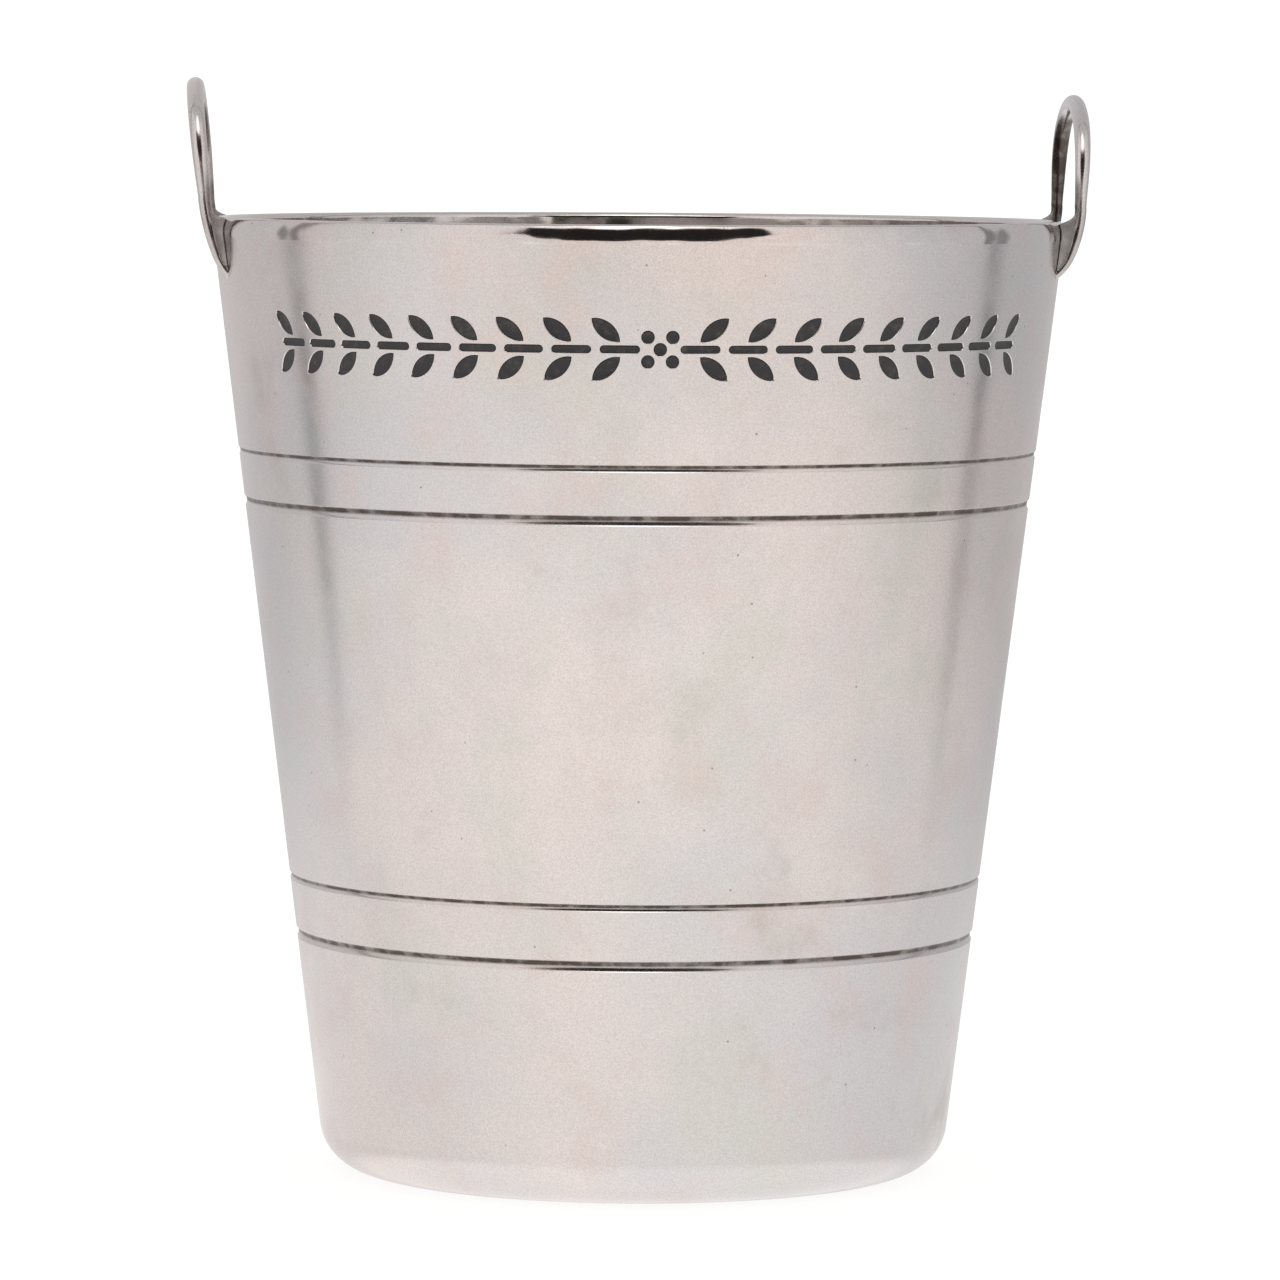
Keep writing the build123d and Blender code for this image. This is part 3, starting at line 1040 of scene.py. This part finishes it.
def tent_material():
    """What the silver reflects: a bright table, side screens that dim towards the back with a
    thin dark gap on each side, a dim room behind the opening at the front, a strip light over
    the opening, and a grey roof."""
    material = bpy.data.materials.new("light_tent")
    material.use_nodes = True
    material.node_tree.nodes.clear()
    nodes = Nodes(material.node_tree)
    glow = nodes.add("ShaderNodeEmission")
    nodes.link(glow.outputs[0], nodes.add("ShaderNodeOutputMaterial").inputs["Surface"])

    place = nodes.add("ShaderNodeTexCoord").outputs["Object"]
    direction = nodes.add("ShaderNodeVectorMath", operation="NORMALIZE")
    nodes.link(place, direction.inputs[0])
    split = nodes.add("ShaderNodeSeparateXYZ")
    nodes.link(direction.outputs[0], split.inputs[0])
    x, y, z = split.outputs
    turn = nodes.math("ARCTAN2", x, nodes.math("MULTIPLY", y, -1.0))
    degrees = nodes.math("MULTIPLY", turn, 180 / math.pi)
    rise = nodes.math("MULTIPLY", nodes.math("ARCSINE", z), 180 / math.pi)
    away = nodes.math("ABSOLUTE", nodes.math("SUBTRACT", degrees, OPENING_TURN))

    # Screens: bright at the front, dimmer at the back, on the right and higher up.
    rear = nodes.mix(nodes.span(rise, -13, -6), REAR_LOW, REAR_HIGH)
    colour = nodes.mix(nodes.span(away, 8, 135), FRONT_SCREEN, rear)
    dim_right = nodes.span(rise, -21, -10, 0.0, 0.11)
    colour = nodes.mix(nodes.math("MULTIPLY", nodes.span(degrees, 0, 90), dim_right), colour, BLACK)
    colour = nodes.mix(nodes.span(rise, -23, -16, 0.05, 0.0), colour, BLACK)

    # The table below, its warm far edge at the front, and the roof.
    colour = nodes.mix(nodes.span(rise, -37, -26, 0.8, 0.0), colour, TABLE)
    table_edge = nodes.math("MULTIPLY", nodes.span(rise, -12.8, -10.2), nodes.span(away, 25, 75, 1, 0))
    colour = nodes.mix(table_edge, colour, TABLE_EDGE)
    colour = nodes.mix(nodes.span(rise, 48, 64), colour, ROOF)

    strip = nodes.math("MULTIPLY", nodes.span(rise, 42, 48), nodes.span(rise, 68, 74, 1, 0))
    for reach, glare in STRIP_STEPS:
        share = nodes.math("MULTIPLY", strip, nodes.span(away, reach - 5, reach + 3, 1, 0))
        colour = nodes.mix(share, colour, (glare, 0.975 * glare, 0.95 * glare, 1))

    above_table = nodes.span(rise, -13.5, -8.5)
    for centre, width, depth in GAPS:
        off = nodes.math("ABSOLUTE", nodes.math("SUBTRACT", degrees, centre))
        gap = nodes.math("MULTIPLY", nodes.span(off, 0.3 * width, width, depth, 0), above_table)
        colour = nodes.mix(gap, colour, GAP_GREY)

    # The opening's lower corners are cut away.
    above_sill = nodes.math("SUBTRACT", rise, nodes.span(away, 17, 36, 0.0, 20.0))
    opening = nodes.math("MULTIPLY", nodes.span(away, 33, 36, 1, 0), nodes.span(above_sill, -3, -1.5))
    opening = nodes.math("MULTIPLY", opening, nodes.span(rise, 41, 44, 1, 0))
    colour = nodes.mix(opening, colour, DIM_ROOM)
    nodes.link(colour, glow.inputs["Color"])
    return material


def floor_material():
    """White card lit so well that it takes only a faint shadow."""
    material = bpy.data.materials.new("floor_white")
    material.use_nodes = True
    shader = material.node_tree.nodes["Principled BSDF"]
    shader.inputs["Base Color"].default_value = (0.16, 0.16, 0.16, 1)
    shader.inputs["Roughness"].default_value = 1.0
    shader.inputs["Specular IOR Level"].default_value = 0.0
    shader.inputs["Emission Color"].default_value = (1, 0.995, 0.99, 1)
    shader.inputs["Emission Strength"].default_value = 0.88
    return material


def studio():
    """Pale floor, white surroundings, and the tent that only reflections see."""
    # The tent's own underside stands in for the floor in the silver's reflections.
    stage_object("floor", disc_mesh("floor", FLOOR_RADIUS), floor_material(), glossy=False)

    unseen = {"camera": False, "diffuse": False, "transmission": False, "shadow": False}
    tent = stage_object("tent", dome_mesh("tent", TENT_RADIUS), tent_material(), **unseen)
    tent.location = (0, 0, RIM_HEIGHT / 2)

    world = bpy.data.worlds.new("soft_white")
    bpy.context.scene.world = world
    world.use_nodes = True
    background = world.node_tree.nodes["Background"]
    background.inputs["Color"].default_value = (1, 1, 1, 1)
    background.inputs["Strength"].default_value = WORLD_STRENGTH
    world.cycles_visibility.glossy = False


def camera():
    """A long lens a little above the rim, looking slightly down at the front of the bucket."""
    turn, pitch, roll = CAMERA_TURN, CAMERA_PITCH, CAMERA_ROLL
    ahead_flat = Vector((math.sin(turn), math.cos(turn), 0))
    right_flat = Vector((math.cos(turn), -math.sin(turn), 0))
    spot = right_flat * CAMERA_SIDESTEP - ahead_flat * CAMERA_DISTANCE
    spot.z = CAMERA_HEIGHT
    ahead = ahead_flat * math.cos(pitch) - Vector((0, 0, math.sin(pitch)))
    level_up = right_flat.cross(ahead)
    right = right_flat * math.cos(roll) + level_up * math.sin(roll)
    up = level_up * math.cos(roll) - right_flat * math.sin(roll)
    data = bpy.data.cameras.new("camera")
    data.lens = CAMERA_LENS
    data.sensor_width = 36.0
    data.clip_end = 100.0
    thing = bpy.data.objects.new("camera", data)
    bpy.context.scene.collection.objects.link(thing)
    axes = Matrix((right, up, -ahead)).transposed().to_4x4()
    thing.matrix_world = Matrix.Translation(spot) @ axes
    bpy.context.scene.camera = thing


# ---- the scene ------------------------------------------------------------------------------
camera()
studio()
bpy.context.scene.view_settings.view_transform = "Standard"

strokes = garland_strokes()
body_silver = silver("body_silver")
rim_silver = silver("rim_silver", 1.4, wave_scale=95.0, wave_height=0.6, polish=(0.08, 0.14))
wire_silver = silver("wire_silver", 0.6, polish=(0.12, 0.2))
solder = silver("dull_solder", 0.6, polish=(0.45, 0.6))

body_piece(strokes).data.materials.append(body_silver)
rim_piece().data.materials.append(rim_silver)
fill_piece(strokes).data.materials.append(black_filler())
for loop_name, loop in LOOPS.items():
    loop_piece(loop_name, loop).data.materials.append(wire_silver)
    for end_name, end_y in (("front", -LEG_SPACING / 2), ("rear", LEG_SPACING / 2)):
        web = solder_piece(f"{loop_name}_{end_name}", loop, loop["side"] * end_y)
        web.data.materials.append(solder)
